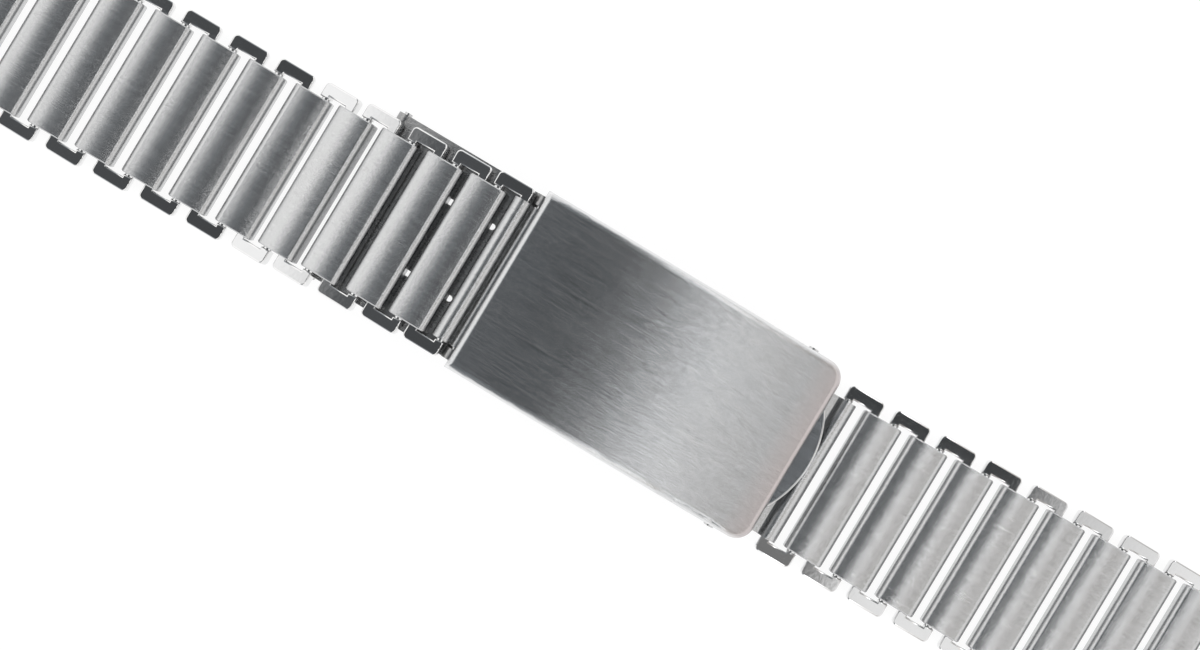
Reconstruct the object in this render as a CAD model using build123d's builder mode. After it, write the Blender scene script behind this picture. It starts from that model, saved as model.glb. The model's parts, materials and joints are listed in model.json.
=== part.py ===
from build123d import *
from math import asin, atan2, cos, sin, sqrt
import os

# A straight link watch bracelet, lying flat with its folding clasp closed.
# X runs along the bracelet, Y across it, Z up from the table at zero.
# Domed bars are joined by closed rings: a ring's two round legs run through two neighbouring bars.

os.makedirs("parts", exist_ok=True)

# Bars and rings, in millimetres
bar_length = 14.8
bar_width = 4.0
bar_height = 2.1
bar_shoulder = 1.78
bar_shoulder_radius = 0.7
bar_edge_radius = 0.22
bar_end_chamfer = 0.1
narrow_width = 1.84
narrow_shoulder = 1.4
seam_width = 0.25
leg_diameter = 0.95
leg_height = 0.85
channel_clearance = 0.04
channel_wall = 0.36
ring_pitch = 2.7
ring_side_width = 1.2
ring_side_height = 1.3
ring_corner_radius = 0.4
ring_edge_radius = 0.14
ring_end_margin = 0.04
ring_play = 0.3

# How many links each half has, and how the photographed bracelet lies
long_half_bars = 11
short_half_bars = 9
long_side_step = 0.14
short_side_step = 0.105
short_start_shift = 0.44
long_spread_shares = [0.75, 0.88, 0.98, 0.85, 1.0, 0.95, 1.0, 1.0, 1.0, 1.0, 1.0]
short_spread_share = 0.955
raised_bars = 4

# Folding clasp
cover_length = 31.96
cover_width = 18.7
cover_height = 4.35
cover_top = 6.8
cover_wall = 0.5
cover_edge_radius = 0.65
cover_corner_radius = 1.75
arch_radius = 110.0
arch_crest = -7.0
window_width = 16.2
blade_width = 17.4
blade_thickness = 0.5
pin_diameter = 0.8
pin_clearance = 0.04
knuckle_wall = 0.41
knuckle_gap = 0.1
cover_hinge_x = 4.0
fold_hinge_x = -31.1
end_hinge_x = -16.0
end_leg_x = -17.55
ear_width = 1.05
fold_knuckle_width = 9.0
slit_offset = 3.85
slit_width = 0.6
slit_start = -26.2
slit_end = -18.6
rest_gap = 0.1
pin_overhang = 0.25
pin_sink = 0.05

# Adjusting pin and its row of holes in the cover's sides
adjust_pin_diameter = 1.0
adjust_pin_x = 12.46
adjust_pin_height = 1.65
adjust_hole_step = 2.5
adjust_hole_count = 3
adjust_tube_wall = 0.38
adjust_neck_thickness = 0.8
short_leg_x = 17.7

# Crescent lip under the right end of the cover
lip_chord = 10.8
lip_reach = 1.55
lip_thickness = 0.4
lip_drop = 1.15

# Lug ends and their spring bars
lug_tube_offset = 3.3
lug_tube_diameter = 2.2
lug_tube_length = 17.4
lug_web_thickness = 1.2
spring_bar_diameter = 1.5
spring_bar_clearance = 0.03
spring_bar_length = 17.0
spring_bar_bore = 1.14
spring_bar_mouth = 0.8
spring_bar_lip = 0.4
plunger_tip_diameter = 0.72
plunger_tip_reach = 1.4
plunger_neck_reach = 0.1
plunger_tip_chamfer = 0.12
plunger_collar_diameter = 1.06
plunger_collar_length = 0.8
plunger_stem_diameter = 0.38
plunger_stem_length = 3.0
plunger_travel = 1.2
spring_outer_diameter = 1.06
spring_inner_diameter = 0.6
end_gap = 0.05

# Overrun of every cut past the face it opens
overrun = 1.0

# Worked-out sizes
leg_radius = leg_diameter / 2
channel_radius = leg_radius + channel_clearance
seat_offset = bar_width / 2 - channel_wall - channel_radius
ring_inner = bar_length + 2 * ring_play
ring_outer = ring_inner + 2 * ring_side_width
pin_radius = pin_diameter / 2
pin_bore = pin_radius + pin_clearance
knuckle_radius = pin_bore + knuckle_wall
adjust_radius = adjust_pin_diameter / 2
adjust_tube_radius = adjust_radius + pin_clearance + adjust_tube_wall
lug_tube_radius = lug_tube_diameter / 2


def arch_height(x, level):
    """Height of a point of the clasp's arch, level being how far it is above the blade's lower face."""
    radius = arch_radius + level
    return arch_centre_z + sqrt(radius**2 - (x - arch_crest) ** 2)


# The fold hinge's knuckles stand on the table, which sets how high the arch lies
fold_pin_level = knuckle_radius
arch_centre_z = knuckle_radius - sqrt((arch_radius + fold_pin_level) ** 2 - (fold_hinge_x - arch_crest) ** 2)
cover_pin_level = knuckle_radius
short_blade_level = 2 * knuckle_radius - blade_thickness
end_pin_level = short_blade_level + knuckle_radius
leg_level = 2 * knuckle_radius + rest_gap + leg_height
crest_z = arch_centre_z + arch_radius
cover_level = cover_top - crest_z
adjust_pin_rise = adjust_pin_height - arch_centre_z
adjust_pin_level = sqrt((adjust_pin_x - arch_crest) ** 2 + adjust_pin_rise**2) - arch_radius


def long_half_points():
    """Leg axes of the left half as (x, z), from the clasp outwards: over the blades, then down."""
    radius = arch_radius + leg_level
    angle = asin((end_leg_x - arch_crest) / radius)
    points = [(end_leg_x, arch_height(end_leg_x, leg_level))]
    for number, share in enumerate(long_spread_shares[:long_half_bars], start=1):
        spread = 2 * seat_offset * share
        if number <= raised_bars:
            for distance in (ring_pitch, spread):
                angle -= 2 * asin(distance / (2 * radius))
                points.append((arch_crest + radius * sin(angle), arch_centre_z + radius * cos(angle)))
        else:
            x, z = points[-1]
            x -= sqrt(ring_pitch**2 - (z - leg_height) ** 2)
            points.append((x, leg_height))
            points.append((x - spread, leg_height))
    x, z = points[-1]
    points.append((x - ring_pitch, leg_height))
    return points


def short_half_points():
    """Leg axes of the right half, from the clasp outwards, flat on the table."""
    spread = 2 * seat_offset * short_spread_share
    x = short_leg_x
    points = [(x, leg_height)]
    for number in range(short_half_bars):
        x += ring_pitch
        points.append((x, leg_height))
        x += spread
        points.append((x, leg_height))
    points.append((x + ring_pitch, leg_height))
    return points


long_points = long_half_points()
short_points = short_half_points()
long_sides = [-long_side_step * k for k in range(len(long_points) + 1)]
short_sides = [short_side_step * k - short_start_shift for k in range(len(short_points) + 1)]

# The origin is under the middle of the whole bracelet
left_end = long_points[-1][0] - lug_tube_offset - lug_tube_radius
right_end = short_points[-1][0] + lug_tube_offset + lug_tube_radius
frame_x = -(left_end + right_end) / 2
frame_y = -(long_sides[-1] + short_sides[-1]) / 2


def section_plane(x, y, z, tilt=0.0):
    """Plane of a cross-section: X runs along the bracelet, Y points up, the normal is -Y."""
    origin = (x + frame_x, y + frame_y, z)
    return Plane(origin=origin, x_dir=(cos(tilt), 0, sin(tilt)), z_dir=(0, -1, 0))


def link_plane(point_a, point_b, y):
    """Section plane halfway between two leg axes, tilted along the line that joins them."""
    left, right = sorted((point_a, point_b))
    tilt = atan2(right[1] - left[1], right[0] - left[0])
    return section_plane((left[0] + right[0]) / 2, y, (left[1] + right[1]) / 2, tilt)


def save(part, label):
    part.label = label
    export_step(part, f"parts/{label}.step")


def bar_face(width, shoulder_height, shoulder_radius):
    """Domed bar section about the leg's axis: flat underside, upright sides, arched top."""
    half = width / 2
    low = -leg_height
    shoulder = shoulder_height - leg_height
    top = bar_height - leg_height
    with BuildSketch() as section:
        with BuildLine():
            Polyline((-half, shoulder), (-half, low), (half, low), (half, shoulder))
            ThreePointArc((half, shoulder), (0, top), (-half, shoulder))
        make_face()
        corners = section.vertices().sort_by(Axis.Y)
        fillet(corners[:2], bar_edge_radius)
        fillet(section.vertices().sort_by(Axis.Y)[-2:], shoulder_radius)
    return section.sketch


def make_bar(plane, label):
    """Full bar: a folded tube with an obround channel for two legs and a seam along its underside."""
    with BuildPart() as bar:
        with BuildSketch(plane):
            add(bar_face(bar_width, bar_shoulder, bar_shoulder_radius))
            SlotCenterToCenter(2 * seat_offset, 2 * channel_radius, mode=Mode.SUBTRACT)
            with Locations((0, -leg_height / 2)):
                Rectangle(seam_width, leg_height, mode=Mode.SUBTRACT)
        extrude(amount=bar_length / 2, both=True)
        ends = bar.faces().filter_by(Axis.Y)
        chamfer([face.outer_wire().edges().sort_by(Axis.Z)[-1] for face in ends], bar_end_chamfer)
    save(bar.part, label)


def make_ring(plane, label):
    """Closed ring: two round legs joined by a flat, rounded side at each edge of the bracelet."""
    with BuildPart() as ring:
        with BuildSketch(plane):
            with GridLocations(ring_pitch, 0, 2, 1):
                Circle(leg_radius)
        extrude(amount=ring_inner / 2, both=True)
        for side in (-1, 1):
            with BuildSketch(plane.offset(side * ring_inner / 2)):
                length = ring_pitch + leg_diameter + 2 * ring_end_margin
                RectangleRounded(length, ring_side_height, ring_corner_radius)
            extrude(amount=side * ring_side_width)
        outer = ring.faces().filter_by(Axis.Y).sort_by(Axis.Y)
        rims = outer[0].edges() + outer[-1].edges()
        fillet(rims, ring_edge_radius)
    save(ring.part, label)


def arch_face(low, high, x_left, x_right):
    """Face between two levels of the clasp's arch and two upright ends, in cover coordinates."""
    middle = (x_left + x_right) / 2
    outline = [(x_left, low), (x_left, high), (x_right, high), (x_right, low)]
    corners = [(x, arch_height(x, level)) for x, level in outline]
    with BuildSketch() as band:
        with BuildLine():
            Line(corners[0], corners[1])
            ThreePointArc(corners[1], (middle, arch_height(middle, high)), corners[2])
            Line(corners[2], corners[3])
            ThreePointArc(corners[3], (middle, arch_height(middle, low)), corners[0])
        make_face()
    return band.sketch


clasp_plane = section_plane(0, 0, 0)
adjust_holes = [
    (x, arch_height(x, adjust_pin_level))
    for x in [adjust_pin_x - k * adjust_hole_step for k in range(adjust_hole_count)]
]


def make_cover():
    """Cover: arched sheet with down-turned sides, a row of adjusting holes and a crescent lip."""
    half = cover_length / 2
    inner_width = cover_width - 2 * cover_wall
    with BuildPart() as cover:
        with BuildSketch(clasp_plane):
            add(arch_face(cover_level - cover_height, cover_level, -half, half))
        extrude(amount=cover_width / 2, both=True)
        fillet(cover.edges().filter_by(Axis.Z).group_by(Axis.X)[-1], cover_corner_radius)
        top = cover.faces().sort_by(Axis.Z)[-1]
        fillet(top.edges(), cover_edge_radius)
        with BuildPart(mode=Mode.PRIVATE) as cavity:
            with BuildSketch(clasp_plane):
                low = cover_level - cover_height - overrun
                add(arch_face(low, cover_level - cover_wall, -half - overrun, half - cover_wall))
            extrude(amount=inner_width / 2, both=True)
            fillet(
                cavity.edges().filter_by(Axis.Z).group_by(Axis.X)[-1],
                cover_corner_radius - cover_wall,
            )
        add(cavity.part, mode=Mode.SUBTRACT)
        lip_z = arch_height(half, cover_level) - lip_drop
        with BuildSketch(section_plane(half, 0, 0)):
            with Locations((0, lip_z / 2 - lip_thickness / 2)):
                Rectangle(2 * overrun, lip_z)
        extrude(amount=window_width / 2, both=True, mode=Mode.SUBTRACT)
        lip_radius = (lip_chord**2 / 4 + lip_reach**2) / (2 * lip_reach)
        lip_plane = Plane(origin=(half + frame_x, frame_y, lip_z - lip_thickness / 2))
        with BuildSketch(lip_plane):
            with Locations((lip_reach - lip_radius, 0)):
                Circle(lip_radius)
            with Locations((-cover_wall - lip_radius, 0)):
                Rectangle(2 * lip_radius, 2 * lip_radius, mode=Mode.SUBTRACT)
        extrude(amount=lip_thickness)
        with BuildSketch(clasp_plane):
            with Locations((cover_hinge_x, arch_height(cover_hinge_x, cover_pin_level))):
                Circle(pin_radius)
            for x, z in adjust_holes:
                with Locations((x, z)):
                    Circle(adjust_radius)
        extrude(amount=cover_width, both=True, mode=Mode.SUBTRACT)
    save(cover.part, "clasp_cover")


def knuckle(x, z, spans, radius):
    """Round rods around a pin at (x, z), one for each (low, high) stretch across the bracelet."""
    for low, high in spans:
        with BuildSketch(section_plane(x, low, z)) as disc:
            Circle(radius)
        extrude(disc.sketch, amount=low - high)


def cut_across(x, z, radius, spans):
    """Cuts a round hole, or clears a neighbour's knuckle, along stretches across the bracelet."""
    for low, high in spans:
        with BuildSketch(section_plane(x, low, z)) as disc:
            Circle(radius)
        extrude(disc.sketch, amount=low - high, mode=Mode.SUBTRACT)


def cut_slits():
    """Two slits through a blade, which free the spring tongue between them."""
    with BuildSketch(Plane(origin=(frame_x + (slit_start + slit_end) / 2, frame_y, 0))) as slits:
        with GridLocations(0, 2 * slit_offset, 1, 2):
            SlotOverall(slit_end - slit_start, slit_width)
    extrude(slits.sketch, amount=cover_top, mode=Mode.SUBTRACT)


half_blade = blade_width / 2
fold_half = fold_knuckle_width / 2
fold_middle = [(-fold_half, fold_half)]
fold_outer = [
    (-half_blade, -fold_half - knuckle_gap),
    (fold_half + knuckle_gap, half_blade),
]
end_outer = [(-half_blade, ear_width - half_blade), (half_blade - ear_width, half_blade)]
all_across = [(-half_blade, half_blade)]
fold_z = arch_height(fold_hinge_x, fold_pin_level)
cover_pin_z = arch_height(cover_hinge_x, cover_pin_level)
end_pin_z = arch_height(end_hinge_x, end_pin_level)
clear_radius = knuckle_radius + knuckle_gap


def make_long_blade():
    """Long blade: from its hinge in the cover to the fold hinge under the left half."""
    with BuildPart() as blade:
        with BuildSketch(clasp_plane):
            add(arch_face(0, blade_thickness, fold_hinge_x, cover_hinge_x))
        extrude(amount=half_blade, both=True)
        cut_across(fold_hinge_x, fold_z, clear_radius, fold_middle)
        knuckle(fold_hinge_x, fold_z, fold_outer, knuckle_radius)
        knuckle(cover_hinge_x, cover_pin_z, all_across, knuckle_radius)
        cut_across(fold_hinge_x, fold_z, pin_bore, all_across)
        cut_across(cover_hinge_x, cover_pin_z, pin_bore, all_across)
        cut_slits()
    save(blade.part, "long_blade")


def make_short_blade():
    """Short blade: folds back over the long one, and carries the left half at its other end."""
    level = short_blade_level
    with BuildPart() as blade:
        with BuildSketch(clasp_plane):
            add(arch_face(level, level + blade_thickness, fold_hinge_x, end_hinge_x))
        extrude(amount=half_blade, both=True)
        cut_across(fold_hinge_x, fold_z, clear_radius, fold_outer)
        knuckle(fold_hinge_x, fold_z, fold_middle, knuckle_radius)
        knuckle(end_hinge_x, end_pin_z, end_outer, knuckle_radius)
        inner = half_blade - ear_width
        cut_across(end_hinge_x, end_pin_z, clear_radius, [(-inner, inner)])
        cut_across(fold_hinge_x, fold_z, pin_bore, all_across)
        cut_across(end_hinge_x, end_pin_z, pin_bore, all_across)
        cut_slits()
    save(blade.part, "short_blade")


def make_pin(x, z, radius, length, label):
    """Plain cross pin."""
    with BuildPart() as pin:
        with BuildSketch(section_plane(x, 0, z)):
            Circle(radius)
        extrude(amount=length / 2, both=True)
    save(pin.part, label)


def make_cover_pins():
    """The cover's two cross pins: the blade's hinge pin, just sunk, and the adjusting pin, just proud."""
    places = [
        (cover_hinge_x, cover_pin_z, pin_radius, cover_width / 2 - pin_sink),
        (adjust_pin_x, adjust_pin_height, adjust_radius, cover_width / 2 + pin_overhang),
    ]
    with BuildPart() as pins:
        for x, z, radius, half in places:
            with BuildSketch(section_plane(x, 0, z)) as disc:
                Circle(radius)
            extrude(disc.sketch, amount=half, both=True)
    save(pins.part, "cover_cross_pins")


def narrow_bar(plane):
    """Narrow domed bar around one leg."""
    with BuildSketch(plane) as section:
        add(bar_face(narrow_width, narrow_shoulder, bar_edge_radius))
    extrude(section.sketch, amount=bar_length / 2, both=True)


def make_fold_end_link():
    """End link of the left half: a narrow bar beside a tube on the short blade's end pin."""
    x, z = long_points[0]
    tilt = atan2(arch_crest - x, arch_radius)
    plane = section_plane(x, 0, z, tilt)
    tube_half = bar_length / 2
    with BuildPart() as link:
        narrow_bar(plane)
        knuckle(end_hinge_x, end_pin_z, [(-tube_half, tube_half)], knuckle_radius)
        cut_across(end_hinge_x, end_pin_z, pin_bore, [(-bar_length, bar_length)])
        cut_across(x, z, channel_radius, [(-bar_length, bar_length)])
    save(link.part, "fold_end_link")


def make_adjusting_end_link():
    """End link of the right half: a narrow bar, a neck under the cover and a tube on the adjusting pin."""
    x, z = short_points[0]
    y = short_sides[0]
    span = [(y - bar_length / 2, y + bar_length / 2)]
    long_span = [(y - bar_length, y + bar_length)]
    neck_half = adjust_neck_thickness / 2
    with BuildPart() as link:
        narrow_bar(section_plane(x, y, z))
        knuckle(adjust_pin_x, adjust_pin_height, span, adjust_tube_radius)
        with BuildSketch(section_plane(0, y, 0)):
            with BuildLine():
                Polyline(
                    (adjust_pin_x, adjust_pin_height - neck_half),
                    (x, z - neck_half),
                    (x, z + neck_half),
                    (adjust_pin_x, adjust_pin_height + neck_half),
                    close=True,
                )
            make_face()
        extrude(amount=bar_length / 2, both=True)
        cut_across(adjust_pin_x, adjust_pin_height, adjust_radius + pin_clearance, long_span)
        cut_across(x, z, channel_radius, long_span)
    save(link.part, "adjusting_end_link")


def make_lug_end(leg, y, side, name):
    """Lug end: a bar with a leg hole and a tube for the spring bar. Side is -1 left, 1 right."""
    x, z = leg
    tube_x = x + side * lug_tube_offset
    tube_z = lug_tube_radius
    half_length = lug_tube_length / 2
    with BuildPart() as lug:
        narrow_bar(section_plane(x, y, z))
        with BuildSketch(section_plane((x + tube_x) / 2, y, tube_z)):
            Rectangle(lug_tube_offset, lug_web_thickness)
        extrude(amount=bar_length / 2, both=True)
        knuckle(tube_x, tube_z, [(y - half_length, y + half_length)], lug_tube_radius)
        bore = spring_bar_diameter / 2 + spring_bar_clearance
        cut_across(tube_x, tube_z, bore, [(y - lug_tube_length, y + lug_tube_length)])
        cut_across(x, z, channel_radius, [(y - lug_tube_length, y + lug_tube_length)])
    save(lug.part, f"{name}_lug_end")
    make_spring_bar(tube_x, y, tube_z, name)


def round_rod(place, outline):
    """Revolves an outline of (distance along the rod, radius) about the rod's axis."""
    with BuildSketch(place) as profile:
        with BuildLine():
            Polyline(*outline, close=True)
        make_face()
    revolve(profile.sketch, axis=Axis(place.origin, place.x_dir))


def make_spring_bar(x, y, z, name):
    """Spring bar of a lug end: tube, coil spring drawn as its sleeve, and two plungers that slide in."""
    origin = (x + frame_x, y + frame_y, z)
    half = spring_bar_length / 2
    bore = spring_bar_bore / 2
    mouth = spring_bar_mouth / 2
    outer = spring_bar_diameter / 2
    along = Plane(origin=origin, x_dir=(0, 1, 0), z_dir=(1, 0, 0))
    with BuildPart() as tube:
        neck = half - spring_bar_lip
        outline = [(-half, mouth), (-half, outer), (half, outer), (half, mouth)]
        outline += [(neck, mouth), (neck, bore), (-neck, bore), (-neck, mouth)]
        round_rod(along, outline)
    save(tube.part, f"{name}_spring_bar_tube")
    collar_out = half - spring_bar_lip - end_gap
    collar_in = collar_out - plunger_collar_length
    spring_half = collar_in - plunger_travel - end_gap
    with BuildPart() as spring:
        inner = spring_inner_diameter / 2
        coil = spring_outer_diameter / 2
        outline = [(-spring_half, inner), (-spring_half, coil), (spring_half, coil), (spring_half, inner)]
        round_rod(along, outline)
    save(spring.part, f"{name}_coil_spring")
    tip = plunger_tip_diameter / 2
    collar = plunger_collar_diameter / 2
    stem = plunger_stem_diameter / 2
    for side, y_dir in (("rear", -1), ("front", 1)):
        place = Plane(origin=origin, x_dir=(0, y_dir, 0), z_dir=(1, 0, 0))
        stem_end = collar_in - plunger_stem_length
        neck_end = half + plunger_neck_reach
        outline = [(stem_end, 0), (stem_end, stem), (collar_in, stem), (collar_in, collar)]
        outline += [(collar_out, collar), (collar_out, stem), (neck_end, stem), (neck_end, tip)]
        outline += [(half + plunger_tip_reach, tip), (half + plunger_tip_reach, 0)]
        with BuildPart() as plunger:
            round_rod(place, outline)
            end = plunger.faces().filter_by(Axis.Y).sort_by(Axis.Y)[-1 if y_dir > 0 else 0]
            chamfer(end.edges(), plunger_tip_chamfer)
        save(plunger.part, f"{name}_plunger_{side}")


def make_half(points, sides, name):
    """Rings and bars of one half, numbered from the clasp outwards."""
    for number in range(1, len(points) // 2 + 1):
        start = 2 * number - 2
        ring_plane = link_plane(points[start], points[start + 1], sides[start + 1])
        make_ring(ring_plane, f"{name}_ring_{number:02d}")
        if start + 2 < len(points):
            bar_plane = link_plane(points[start + 1], points[start + 2], sides[start + 2])
            make_bar(bar_plane, f"{name}_bar_{number:02d}")


make_cover()
make_cover_pins()
make_long_blade()
make_short_blade()
make_pin(fold_hinge_x, fold_z, pin_radius, blade_width + 2 * pin_overhang, "fold_hinge_pin")
make_pin(end_hinge_x, end_pin_z, pin_radius, blade_width, "end_link_pin")
make_fold_end_link()
make_adjusting_end_link()
make_half(long_points, long_sides, "long")
make_half(short_points, short_sides, "short")
make_lug_end(long_points[-1], long_sides[-1], -1, "long")
make_lug_end(short_points[-1], short_sides[-1], 1, "short")
print("overall length", round(right_end - left_end, 2), "ring width", round(ring_outer, 2))
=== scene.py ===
# %% [markdown]
# A straight steel link bracelet with a folding clasp, seen from above.
# The imported model gives every piece its place. This script gives the pieces their metal,
# and sets up the light and the camera. We load the frame first and note where its hinges turn.

# %% Load the frame
import json
import math
import bmesh
import bpy
from mathutils import Matrix, Vector


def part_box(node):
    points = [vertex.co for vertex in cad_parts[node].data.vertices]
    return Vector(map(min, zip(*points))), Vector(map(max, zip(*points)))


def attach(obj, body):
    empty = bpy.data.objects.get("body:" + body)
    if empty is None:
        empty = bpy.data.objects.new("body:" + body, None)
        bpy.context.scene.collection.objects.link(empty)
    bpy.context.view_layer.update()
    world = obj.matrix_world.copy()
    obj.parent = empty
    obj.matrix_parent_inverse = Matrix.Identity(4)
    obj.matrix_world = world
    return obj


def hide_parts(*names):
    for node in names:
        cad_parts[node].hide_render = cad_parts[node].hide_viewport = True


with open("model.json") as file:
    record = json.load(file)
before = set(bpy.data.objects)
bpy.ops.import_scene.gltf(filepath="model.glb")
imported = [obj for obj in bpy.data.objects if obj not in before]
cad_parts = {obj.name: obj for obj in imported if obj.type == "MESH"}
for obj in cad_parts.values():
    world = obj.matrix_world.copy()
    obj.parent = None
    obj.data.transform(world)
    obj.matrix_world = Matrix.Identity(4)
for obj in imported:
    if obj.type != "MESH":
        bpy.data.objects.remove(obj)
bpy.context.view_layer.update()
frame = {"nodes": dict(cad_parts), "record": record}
MM = 0.001
turning = [joint for joint in frame["record"]["behaviour"]["joints"] if joint["type"] == "hinge"]
hinge_at = {joint["name"]: Vector(joint["pos_m"]) for joint in turning}

# %% [markdown]
# Shader maths reads best as plain expressions. This small class wraps one output socket,
# and every operator adds the Math node that it stands for.

# %% A helper for node materials
class Value:
    """One number that varies over the surface, held as a node's output socket."""

    def __init__(self, shade, socket):
        self.shade = shade
        self.socket = socket

    def _math(self, operation, first, second):
        return self.shade.node("ShaderNodeMath", {"operation": operation}, {0: first, 1: second})

    def __add__(self, other):
        return self._math("ADD", self, other)

    __radd__ = __add__

    def __mul__(self, other):
        return self._math("MULTIPLY", self, other)

    __rmul__ = __mul__

    def __sub__(self, other):
        return self._math("SUBTRACT", self, other)

    def __rsub__(self, other):
        return self._math("SUBTRACT", other, self)

    def above(self, other):
        return self._math("GREATER_THAN", self, other)

    def size(self):
        return self._math("ABSOLUTE", self, 0.0)


class Shade:
    def __init__(self, name):
        self.material = bpy.data.materials.new(name)
        self.material.use_nodes = True
        self.tree = self.material.node_tree
        self.tree.nodes.clear()
        self.output = self.tree.nodes.new("ShaderNodeOutputMaterial")

    def node(self, kind, settings=None, inputs=None, output=0):
        made = self.tree.nodes.new(kind)
        for key, value in (settings or {}).items():
            if key == "stops":
                ramp = made.color_ramp
                for stop, (place, colour) in zip(ramp.elements, value[:2]):
                    stop.position = place
                    stop.color = colour
                for place, colour in value[2:]:
                    ramp.elements.new(place).color = colour
            else:
                setattr(made, key, value)
        for key, value in (inputs or {}).items():
            if isinstance(value, Value):
                self.tree.links.new(value.socket, made.inputs[key])
            else:
                made.inputs[key].default_value = value
        return Value(self, made.outputs[output])

    def place(self, scale=(1, 1, 1), turn=(0, 0, 0)):
        """Object coordinates, stretched and turned."""
        here = self.node("ShaderNodeTexCoord", output="Object")
        return self.node("ShaderNodeMapping", {}, {"Vector": here, "Scale": scale, "Rotation": turn})

    def noise(self, scale, detail=2.0, stretch=(1, 1, 1), turn=(0, 0, 0)):
        spot = self.place(stretch, turn)
        return self.node("ShaderNodeTexNoise", {}, {"Vector": spot, "Scale": scale, "Detail": detail}, "Fac")

    def ramp(self, value, stops):
        return self.node("ShaderNodeValToRGB", {"stops": stops}, {"Fac": value})

    def fade(self, value):
        """Black below 0, white above 1, even between."""
        return self.ramp(value, [(0.0, (0, 0, 0, 1)), (1.0, (1, 1, 1, 1))])

    def mix(self, factor, first, second):
        settings = {"data_type": "RGBA"}
        return self.node("ShaderNodeMix", settings, {0: factor, 6: first, 7: second}, 2)

    def finish(self, **sockets):
        names = {key.replace("_", " "): value for key, value in sockets.items()}
        surface = self.node("ShaderNodeBsdfPrincipled", {}, names)
        self.tree.links.new(surface.socket, self.output.inputs["Surface"])
        return self.material


print("material helper ready")

# %% [markdown]
# The bars are brushed along the bracelet, so light spreads across the brush lines and stays
# sharp along them: one side of each dome is light, the other dark. The brush lines are long thin
# noise. As steep fine bumps they lean the surface across the lines only, and that spreads it.

# %% Brushed steel
def grey(value, warmth=0.0):
    return (value * (1 + warmth), value, value * (1 - warmth), 1)


def scratches(shade, scale, turn):
    """Sparse thin lines, white on black."""
    spot = shade.noise(scale, 1.0, (0.04, 1, 1), (0, 0, turn))
    black, white = (0, 0, 0, 1), (1, 1, 1, 1)
    return shade.ramp(spot, [(0.0, black), (1.0, black), (0.66, black), (0.7, white), (0.74, black)])


def brushed(name, base, roughness, line_height, lines_per_metre, warmth=0.0, marks=None):
    shade = Shade(name)
    fine = shade.noise(lines_per_metre, 3.0, (0.005, 1, 1))
    coarse = shade.noise(lines_per_metre * 0.22, 2.0, (0.015, 1, 1))
    lines = fine * 0.75 + coarse * 0.25
    cloud = shade.noise(160.0, 3.0, (0.5, 1, 1))
    colour = shade.mix(lines, grey(base * 0.8, warmth), grey(base * 1.16, warmth))
    colour = shade.mix(cloud * 0.35, colour, grey(base * 0.86, -warmth))
    colour = shade.mix(scratches(shade, 2600.0, 0.25) * 0.2, colour, grey(base * 1.3))
    colour = shade.mix(scratches(shade, 1900.0, -0.4) * 0.22, colour, grey(base * 0.62))
    rough = lines * 0.1 + cloud * 0.06 + (roughness - 0.08)
    if marks:
        colour, rough = marks(shade, colour, rough)
    bump = shade.node("ShaderNodeBump", {}, {"Strength": 1.0, "Distance": line_height, "Height": lines})
    return shade.finish(Base_Color=colour, Roughness=rough, Normal=bump, Metallic=1.0)


cover_low, cover_high = (Vector(corner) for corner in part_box("clasp_cover"))
cover_origin = frame["nodes"]["clasp_cover"].matrix_world.translation
cover_middle = (cover_low + cover_high) / 2 - cover_origin
LIP_REACH = 1.55 * MM
LIP_START = cover_high.x - LIP_REACH - cover_origin.x
# Width of the painted highlight along the cover's edges.
EDGE_HIGHLIGHT_WIDTH = 0.55 * MM
BLUSH_WIDTH = 3 * MM


def cover_painted_light_and_tint(shade, colour, rough):
    """Painted highlight along the left and side edges, a warm right end, and painted shade on the smooth
    inside of the lip.
    """
    here = shade.node("ShaderNodeTexCoord", output="Object")
    along = shade.node("ShaderNodeSeparateXYZ", {}, {0: here}, "X")
    across = shade.node("ShaderNodeSeparateXYZ", {}, {0: here}, "Y") - cover_middle.y
    facing = shade.node("ShaderNodeTexCoord", output="Normal")
    upward = shade.node("ShaderNodeSeparateXYZ", {}, {0: facing}, "Z").above(0.3)
    half_width = (cover_high.y - cover_low.y) / 2
    # Painted highlight: upward faces near the left and side edges are mixed towards light grey.
    left = shade.fade((cover_low.x - cover_origin.x + EDGE_HIGHLIGHT_WIDTH - along) * (1 / EDGE_HIGHLIGHT_WIDTH))
    sides = shade.fade((across.size() - (half_width - EDGE_HIGHLIGHT_WIDTH)) * (1 / EDGE_HIGHLIGHT_WIDTH))
    colour = shade.mix(shade.fade(left + sides) * upward * 0.8, colour, grey(0.95))
    blush = shade.fade((along - (LIP_START - BLUSH_WIDTH)) * (1 / BLUSH_WIDTH)) * upward
    colour = shade.mix(blush * 0.5, colour, (0.64, 0.53, 0.51, 1))
    # Painted shade: the lip's inside is coloured dark grey, as if in shadow; it is also made smoother.
    lip = along.above(LIP_START)
    colour = shade.mix(lip, colour, grey(0.2, -0.05))
    return colour, rough * (1.0 - lip) + lip * 0.12


bar_steel = brushed("bar_brushed_steel", 0.62, 0.25, 0.03 * MM, 12000.0, -0.01)
cover_steel = brushed("cover_brushed_steel", 0.57, 0.24, 0.026 * MM, 9000.0, -0.025, cover_painted_light_and_tint)
blade_steel = brushed("blade_satin_steel", 0.4, 0.28, 0.045 * MM, 7000.0)
print("brushed steels made")

# %% [markdown]
# The rings' flat sides are polished like a mirror and carry a few fine wear marks.
# A mirror shows its surroundings, so its own colour hardly varies.

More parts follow.
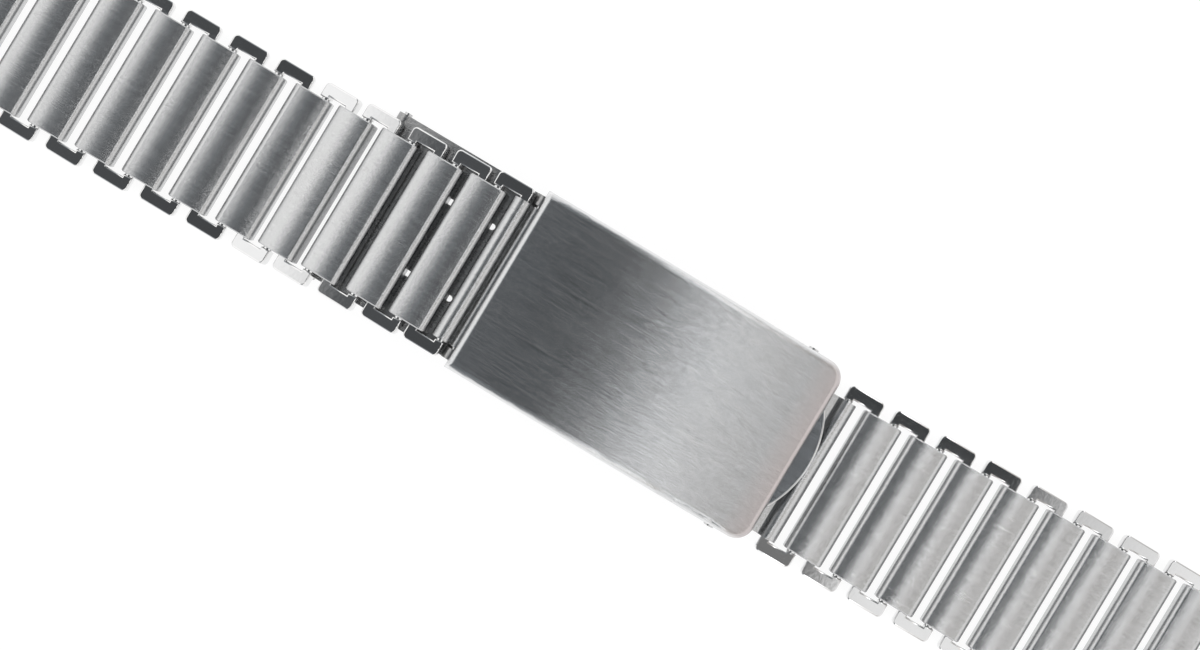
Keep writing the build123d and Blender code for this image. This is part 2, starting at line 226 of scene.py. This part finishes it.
# %% Polished steel
def polished(name, base, roughness):
    shade = Shade(name)
    wear = shade.noise(2600.0, 4.0)
    smear = shade.noise(420.0, 3.0)
    colour = shade.mix(smear, grey(base * 0.94), grey(base * 1.03))
    rough = smear * 0.04 + (roughness - 0.02)
    bump = shade.node("ShaderNodeBump", {}, {"Strength": 0.12, "Distance": 0.00002, "Height": wear})
    return shade.finish(Base_Color=colour, Roughness=rough, Normal=bump, Metallic=1.0)


ring_steel = polished("ring_polished_steel", 0.82, 0.045)
pin_steel = polished("pin_turned_steel", 0.66, 0.2)
print("polished steels made")

# %% [markdown]
# The frame's own nodes have the right shapes, so they keep them and take these metals.

# %% Give every node its metal
finishes = {
    "bar_brushed": bar_steel,
    "cover_brushed": cover_steel,
    "blade_satin": blade_steel,
    "polished_steel": ring_steel,
    "spring_bar_steel": pin_steel,
    "spring_wire": pin_steel,
}
slot_of = {entry["node"]: entry["material_slot"] for entry in frame["record"]["subparts"]}
for name, piece in frame["nodes"].items():
    piece.data.materials.clear()
    piece.data.materials.append(finishes[slot_of[name]])
print("nodes dressed", len(slot_of))

# %% [markdown]
# Each ring is bent from flat-topped wire. Seen from above its side is a flat bar whose outer
# corners are round, with a short neck at each end that runs down to the leg in the bar.
# The CAD ring rounds these corners the other way, so a finer ring stands for it here.

# %% Rings
RING_PITCH = 2.7 * MM
RING_END = 1.865 * MM
RING_SIDE = 1.2 * MM
RING_HALF_HEIGHT = 0.65 * MM
RING_CORNER = 0.42 * MM
RING_EDGE = 0.13 * MM
RING_INNER = 7.7 * MM
NECK_WIDTH = 0.95 * MM
NECK_REACH = 0.27 * MM
LEG_RADIUS = 0.475 * MM
CORNER_STEPS = 6
EDGE_STEPS = 3
FLAT_NORMAL = 0.999


def ring_outline():
    """Plan of one side, walked round once: the neck, the straight outer edge and the other neck."""
    inner, outer = RING_INNER, RING_INNER + RING_SIDE
    tip = inner - NECK_REACH
    step_in = RING_END - NECK_WIDTH
    points = [(-step_in, tip), (-RING_END, tip)]
    for side, start in ((-1, math.pi), (1, math.pi / 2)):
        centre = Vector((side * (RING_END - RING_CORNER), outer - RING_CORNER))
        for step in range(CORNER_STEPS + 1):
            angle = start - step / CORNER_STEPS * math.pi / 2
            points.append(tuple(centre + RING_CORNER * Vector((math.cos(angle), math.sin(angle)))))
    points += [(RING_END, tip), (step_in, tip), (step_in, inner), (-step_in, inner)]
    return points


def ring_mesh(name):
    shape = bmesh.new()
    for side in (-1, 1):
        verts = [shape.verts.new((x, side * y, -RING_HALF_HEIGHT)) for x, y in ring_outline()]
        face = shape.faces.new(verts)
        raised = bmesh.ops.extrude_face_region(shape, geom=[face])["geom"]
        moved = [item for item in raised if isinstance(item, bmesh.types.BMVert)]
        bmesh.ops.translate(shape, verts=moved, vec=(0, 0, 2 * RING_HALF_HEIGHT))
    bmesh.ops.recalc_face_normals(shape, faces=shape.faces)
    level = [edge for edge in shape.edges if abs(edge.verts[0].co.z - edge.verts[1].co.z) < 1e-9]
    bmesh.ops.bevel(
        shape, geom=level, offset=RING_EDGE, segments=EDGE_STEPS, affect="EDGES", profile=0.5
    )
    for x in (-RING_PITCH / 2, RING_PITCH / 2):
        turned = Matrix.Translation((x, 0, 0)) @ Matrix.Rotation(math.pi / 2, 4, "X")
        bmesh.ops.create_cone(
            shape, cap_ends=True, segments=24, radius1=LEG_RADIUS, radius2=LEG_RADIUS,
            depth=2 * (RING_INNER - NECK_REACH / 2), matrix=turned,
        )
    mesh = bpy.data.meshes.new(name)
    shape.to_mesh(mesh)
    shape.free()
    mesh.materials.append(ring_steel)
    mesh.set_sharp_from_angle(angle=math.radians(35))
    for face in mesh.polygons:
        face.use_smooth = abs(face.normal.z) < FLAT_NORMAL
    return mesh


def place_ring(half, number):
    name = f"{half}_ring_{number:02d}"
    first = hinge_at[f"{half}_turn_{2 * number - 1:02d}"]
    second = hinge_at[f"{half}_turn_{2 * number:02d}"]
    low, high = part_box(name)
    middle = (first + second) / 2
    along = (second - first) if half == "short" else (first - second)
    lean = math.atan2(along.z, along.x)
    ring = bpy.data.objects.new(name + "_wire", ring_mesh(name + "_wire"))
    bpy.context.collection.objects.link(ring)
    spot = Vector((middle.x, (low.y + high.y) / 2, middle.z))
    ring.data.transform(Matrix.Translation(spot) @ Matrix.Rotation(-lean, 4, "Y"))
    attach(ring, name)
    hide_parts(name)


for number in range(1, 13):
    place_ring("long", number)
for number in range(1, 11):
    place_ring("short", number)
print("rings made")

# %% [markdown]
# The crescent lip at the cover's end catches light on its rounded rim, a thin bright line.

# %% Rim of the lip
LIP_CHORD = 10.8 * MM
RIM_RADIUS = 0.11 * MM
RIM_SPAN = math.radians(61)


def lip_rim():
    circle = (LIP_CHORD**2 / 4 + LIP_REACH**2) / (2 * LIP_REACH)
    cover = frame["nodes"]["clasp_cover"]
    spots = [cover.matrix_world @ vert.co for vert in cover.data.vertices]
    top = max(spot.z for spot in spots if spot.x > cover_high.x - LIP_REACH / 2)
    centre = Vector((cover_high.x - circle, (cover_low.y + cover_high.y) / 2, top))
    start = Matrix.Translation(centre) @ Matrix.Rotation(-RIM_SPAN / 2, 4, "Z")
    outward = Matrix.Translation((circle - RIM_RADIUS, 0, 0))
    place = start @ outward @ Matrix.Rotation(math.pi / 2, 4, "X")
    shape = bmesh.new()
    bmesh.ops.create_circle(shape, segments=12, radius=RIM_RADIUS, matrix=place)
    bmesh.ops.spin(
        shape, geom=shape.verts[:] + shape.edges[:], cent=centre, axis=(0, 0, 1),
        angle=RIM_SPAN, steps=32,
    )
    bmesh.ops.recalc_face_normals(shape, faces=shape.faces)
    mesh = bpy.data.meshes.new("lip_rim")
    shape.to_mesh(mesh)
    shape.free()
    mesh.materials.append(ring_steel)
    for face in mesh.polygons:
        face.use_smooth = True
    rim = bpy.data.objects.new("lip_rim", mesh)
    bpy.context.collection.objects.link(rim)
    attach(rim, "clasp_cover")


lip_rim()
print("lip rim made")

# %% [markdown]
# The photograph looks straight down from about a hand's length above the clasp, turned so
# that the bracelet runs down to the right. The lens follows from the scale on the table.

# %% Camera
clasp_middle = (cover_low + cover_high) / 2
CAMERA_HEIGHT = 0.235
SCALE_HEIGHT = 1.5 * MM
PIXELS_PER_MM = 10.76
IMAGE_WIDTH = 1200
CAMERA_TURN = math.radians(31)
camera_aim = Vector((clasp_middle.x - 6.5 * MM, clasp_middle.y + 1.21 * MM, 0))
camera_data = bpy.data.cameras.new("camera")
camera = bpy.data.objects.new("camera", camera_data)
bpy.context.collection.objects.link(camera)
camera.location = (camera_aim.x, camera_aim.y, CAMERA_HEIGHT)
camera.rotation_euler = (0, 0, CAMERA_TURN)
seen_width = IMAGE_WIDTH / PIXELS_PER_MM * MM
camera_data.sensor_width = 36
camera_data.lens = camera_data.sensor_width * (CAMERA_HEIGHT - SCALE_HEIGHT) / seen_width
camera_data.clip_start = 0.001
bpy.context.scene.camera = camera
print("lens", round(camera_data.lens, 1), "mm")

# %% [markdown]
# The steel shows what stands around it. A ceiling card just above the camera is dark over the
# clasp and light to both sides, which gives the dark band down each dome and the grey fall across
# the cover. Two strips of it face the rings. The card is only seen in reflections. Its tables give
# millimetres from the camera's place along the bracelet, and the colour there.

# %% Floor, world and light
CEILING_MARKS = [
    (-260, grey(1.3, 0.01)), (-185, grey(1.25, 0.01)), (-140, grey(0.36, -0.06)),
    (-50, grey(0.24, -0.06)), (-20, grey(0.11, -0.06)), (15, grey(0.1, -0.05)),
    (40, grey(0.24, -0.02)), (62, grey(3.6, -0.01)), (78, grey(1.5, 0.02)), (100, grey(0.8, 0.03)),
    (130, grey(0.42, 0.06)), (160, grey(0.36, 0.06)), (240, grey(0.9, 0.02)), (300, grey(1.1, 0.02)),
]
STRIP_LEFT = [
    (-260, grey(1.1)), (-185, grey(1.05)), (-140, grey(0.1, -0.05)), (-50, grey(0.06, -0.05)),
]
REAR_STRIP = STRIP_LEFT + [(82, grey(0.06, -0.05)), (96, grey(0.7)), (120, grey(0.95)), (240, grey(1.0))]
FRONT_STRIP = STRIP_LEFT + [
    (35, grey(0.08, -0.05)), (40, grey(0.2)), (56, grey(0.2)), (66, grey(0.9)), (120, grey(1.0)),
    (240, grey(1.0)),
]
STRIP_START = 6
STRIP_END = 32
CEILING_LIFT = 5 * MM
FLOOR_DROP = 0.02 * MM
FLOOR_SEEN = 0.8


def flat_card(name, size, place, material, turn=(0, 0, 0)):
    mesh = bpy.data.meshes.new(name)
    shape = bmesh.new()
    bmesh.ops.create_grid(shape, x_segments=1, y_segments=1, size=0.5)
    shape.transform(Matrix.Diagonal((size[0], size[1], 1, 1)))
    shape.to_mesh(mesh)
    shape.free()
    card = bpy.data.objects.new(name, mesh)
    bpy.context.collection.objects.link(card)
    card.location = place
    card.rotation_euler = turn
    mesh.materials.append(material)
    return card


def floor_material():
    shade = Shade("pale_floor")
    plain = shade.node("ShaderNodeBsdfDiffuse", {}, {"Color": grey(0.8)})
    white = shade.node("ShaderNodeEmission", {}, {"Color": grey(1.0), "Strength": 1.12})
    camera_ray = shade.node("ShaderNodeLightPath", output="Is Camera Ray")
    glossy_ray = shade.node("ShaderNodeLightPath", output="Is Glossy Ray")
    through_ray = shade.node("ShaderNodeLightPath", output="Is Transmission Ray")
    seen = camera_ray + glossy_ray + through_ray
    mixed = shade.node("ShaderNodeMixShader", {}, {0: seen * FLOOR_SEEN, 1: plain, 2: white})
    shade.tree.links.new(mixed.socket, shade.output.inputs["Surface"])
    return shade.material


floor = flat_card("floor", (2.0, 2.0), (0, 0, -FLOOR_DROP), floor_material())

world = bpy.data.worlds.new("pale_world")
bpy.context.scene.world = world
world.use_nodes = True
world.node_tree.nodes["Background"].inputs["Color"].default_value = grey(0.95)
world.node_tree.nodes["Background"].inputs["Strength"].default_value = 1.0


def level_along(shade, along, marks):
    """Colour ramp over the given (millimetres, colour) marks."""
    first, last = marks[0][0], marks[-1][0]
    stops = [((mark - first) / (last - first), colour) for mark, colour in marks]
    return shade.ramp((along - first) * (1 / (last - first)), stops)


def ceiling_material():
    """Emission that changes along the bracelet, by how far the spot is from the camera's own place."""
    shade = Shade("ceiling")
    here = shade.node("ShaderNodeTexCoord", output="Object")
    along = shade.node("ShaderNodeSeparateXYZ", {}, {0: here}, "X")
    across = shade.node("ShaderNodeSeparateXYZ", {}, {0: here}, "Y") * (1 / MM)
    along = along * (1 / MM)
    level = level_along(shade, along, CEILING_MARKS)
    rear = level_along(shade, along, REAR_STRIP)
    front = level_along(shade, along, FRONT_STRIP)
    level = shade.mix(across.above(STRIP_START) * (1.0 - across.above(STRIP_END)), level, rear)
    level = shade.mix(across.above(-STRIP_END) * (1.0 - across.above(-STRIP_START)), level, front)
    glowing = shade.node("ShaderNodeEmission", {}, {"Color": level, "Strength": 1.0})
    shade.tree.links.new(glowing.socket, shade.output.inputs["Surface"])
    return shade.material


ceiling_spot = (camera_aim.x, camera_aim.y, CAMERA_HEIGHT + CEILING_LIFT)
ceiling = flat_card("ceiling", (1.0, 1.0), ceiling_spot, ceiling_material())
for setting in ("visible_camera", "visible_diffuse", "visible_shadow", "visible_transmission"):
    setattr(ceiling, setting, False)

bpy.context.scene.view_settings.view_transform = "Standard"
print("light and floor ready")
